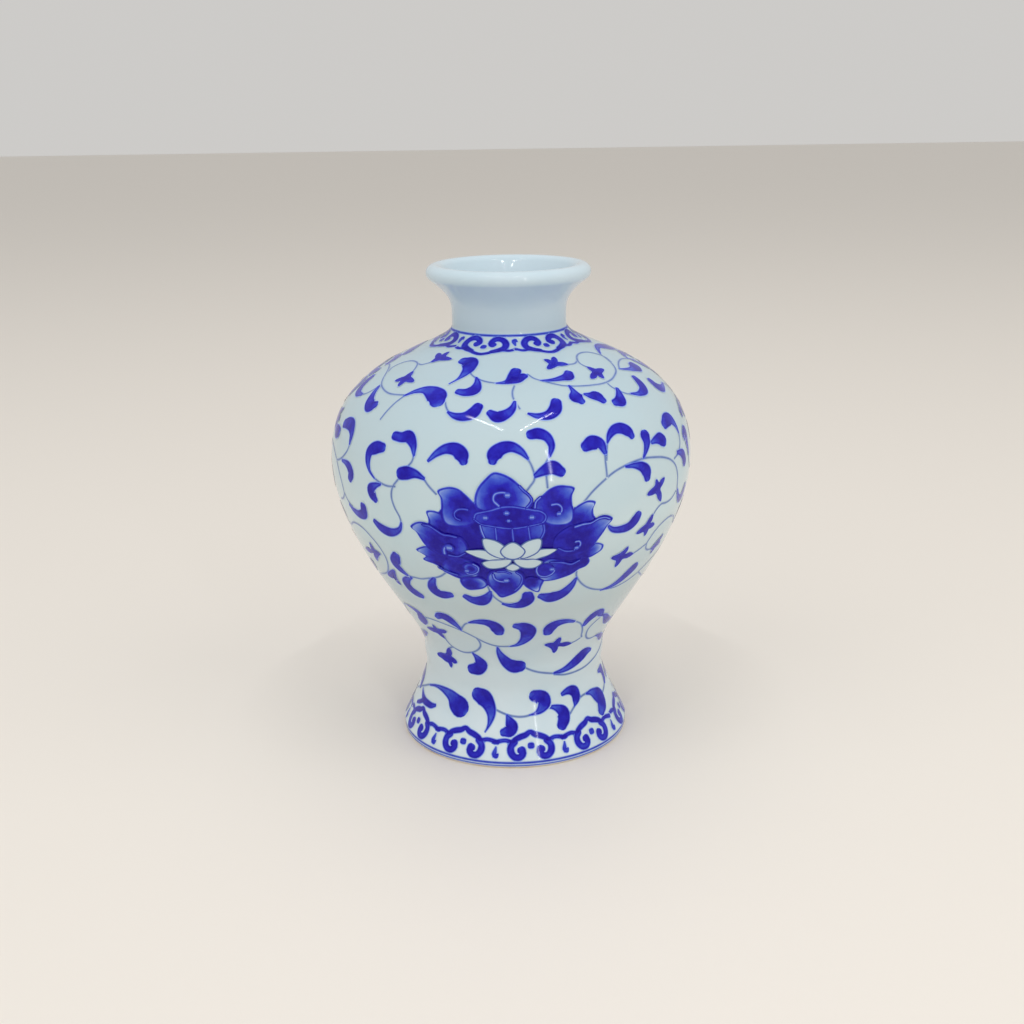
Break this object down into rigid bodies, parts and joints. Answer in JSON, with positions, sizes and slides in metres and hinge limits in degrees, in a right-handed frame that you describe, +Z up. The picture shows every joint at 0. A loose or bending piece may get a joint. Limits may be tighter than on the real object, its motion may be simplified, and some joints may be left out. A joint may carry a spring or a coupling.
{
  "type": "porcelain vase",
  "caption": "Free-standing glazed porcelain baluster vase with a trumpet mouth, wide shoulder, narrow waist and flared hollow foot, painted in cobalt blue.",
  "frame": {"origin": "centre of the foot ring, on the surface that the vase stands on", "axes": "+Z up along the turned axis; the front lotus of the painting faces -Y"},
  "size_m": [0.134, 0.134, 0.18],
  "materials": {
    "glazed_porcelain": "clear glossy glaze over pale blue-white porcelain",
    "cobalt_painting": "cobalt blue brushwork under the clear glossy glaze",
    "bare_porcelain": "unglazed, wiped and ground",
    "fired_slip": "fired slip under a thin glaze"
  },
  "bodies": {
    "root": {"mouth_and_neck": "glazed_porcelain", "upper_body": "glazed_porcelain", "lower_body": "glazed_porcelain", "foot": "glazed_porcelain", "neck_slip_joint": "fired_slip", "belly_slip_joint": "fired_slip", "waist_slip_joint": "fired_slip"}
  },
  "joints": []
}
